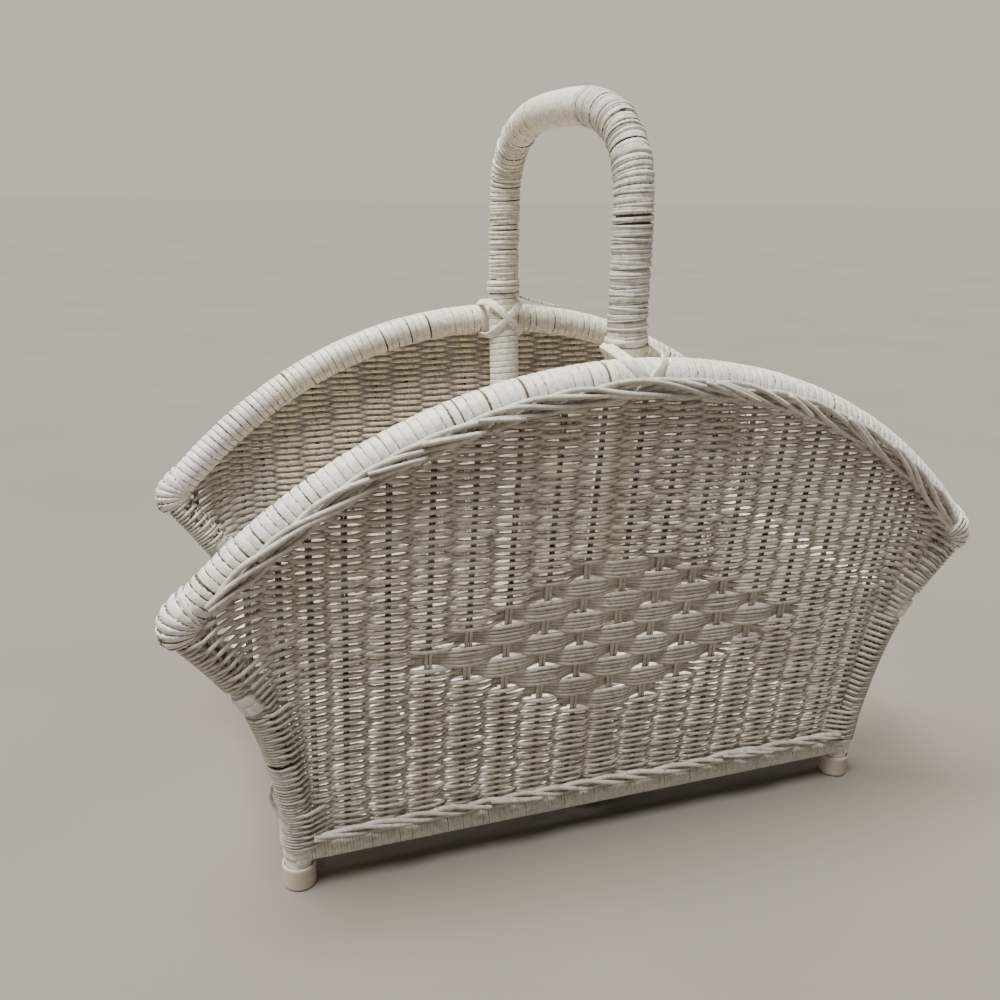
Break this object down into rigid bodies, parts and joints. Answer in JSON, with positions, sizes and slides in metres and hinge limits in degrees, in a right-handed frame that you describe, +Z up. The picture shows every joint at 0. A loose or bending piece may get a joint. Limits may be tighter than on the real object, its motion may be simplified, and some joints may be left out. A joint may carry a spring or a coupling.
{
  "type": "magazine basket",
  "caption": "White painted wicker magazine basket: bowed woven panels leaning outwards on cane poles, open ends with rails, woven floor and a tall arched handle.",
  "frame": {"origin": "on the surface that the feet stand on, under the middle of the basket", "axes": "+X along the basket's length, +Y from the front panel to the back panel, +Z up"},
  "size_m": [0.568, 0.3092, 0.5044],
  "materials": {
    "painted_cane": "white paint over wrapped cane, satin, slightly worn",
    "painted_reed": "thin white paint over woven reed, matt, slightly grey with dust",
    "ferrule_plastic": "satin cream"
  },
  "bodies": {
    "root": {"front_rim": "painted_cane", "front_rim_braid": "painted_reed", "front_base_rail": "painted_cane", "front_base_braid": "painted_reed", "front_handle_lashing": "painted_cane", "front_weave": "painted_reed", "front_stake_1": "painted_reed", "front_stake_2": "painted_reed", "front_stake_3": "painted_reed", "front_stake_4": "painted_reed", "front_stake_5": "painted_reed", "front_stake_6": "painted_reed", "front_stake_7": "painted_reed", "front_stake_8": "painted_reed", "front_stake_9": "painted_reed", "front_stake_10": "painted_reed", "front_stake_11": "painted_reed", "front_left_post": "painted_cane", "front_left_corner_cap": "painted_cane", "front_left_rail_lashing": "painted_cane", "front_left_ferrule": "ferrule_plastic", "front_right_post": "painted_cane", "front_right_corner_cap": "painted_cane", "front_right_rail_lashing": "painted_cane", "front_right_ferrule": "ferrule_plastic", "front_handle_winding": "painted_cane", "back_rim": "painted_cane", "back_rim_braid": "painted_reed", "back_base_rail": "painted_cane", "back_base_braid": "painted_reed", "back_handle_lashing": "painted_cane", "back_weave": "painted_reed", "back_stake_1": "painted_reed", "back_stake_2": "painted_reed", "back_stake_3": "painted_reed", "back_stake_4": "painted_reed", "back_stake_5": "painted_reed", "back_stake_6": "painted_reed", "back_stake_7": "painted_reed", "back_stake_8": "painted_reed", "back_stake_9": "painted_reed", "back_stake_10": "painted_reed", "back_stake_11": "painted_reed", "back_left_post": "painted_cane", "back_left_corner_cap": "painted_cane", "back_left_rail_lashing": "painted_cane", "back_left_ferrule": "ferrule_plastic", "back_right_post": "painted_cane", "back_right_corner_cap": "painted_cane", "back_right_rail_lashing": "painted_cane", "back_right_ferrule": "ferrule_plastic", "back_handle_winding": "painted_cane", "left_base_rail": "painted_cane", "left_end_rail": "painted_cane", "right_base_rail": "painted_cane", "right_end_rail": "painted_cane", "handle": "painted_cane", "floor": "painted_reed"}
  },
  "joints": []
}
